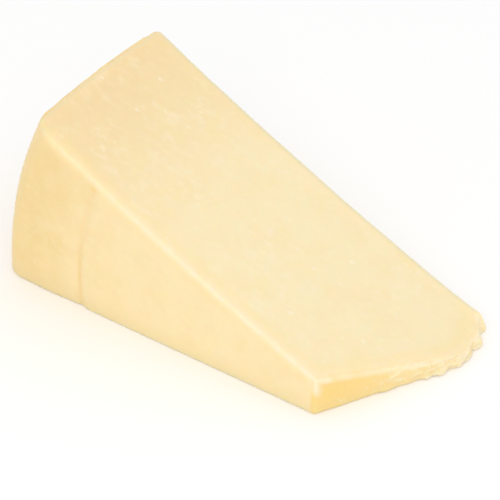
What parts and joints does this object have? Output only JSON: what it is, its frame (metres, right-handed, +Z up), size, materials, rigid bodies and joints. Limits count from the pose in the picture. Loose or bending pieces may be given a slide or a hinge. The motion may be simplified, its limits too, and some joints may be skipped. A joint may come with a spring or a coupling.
{
  "type": "cheese wedge",
  "caption": "Wedge of hard pressed pale yellow cheese lying on a long cut face, with a moulded flat side, rounded rind edge and a slanted, partly broken tip.",
  "frame": {"origin": "middle of the bounding box's underside, on the lower cut face", "axes": "+Z up from the lower cut face, +X from the rind towards the tip, +Y along the wheel's axis from the moulded side to the halving cut"},
  "size_m": [0.1432, 0.065, 0.0632],
  "materials": {
    "cheese": "satin, slightly waxy, with fine pale crystals"
  },
  "bodies": {
    "root": {"cheese_wedge": "cheese"}
  },
  "joints": []
}
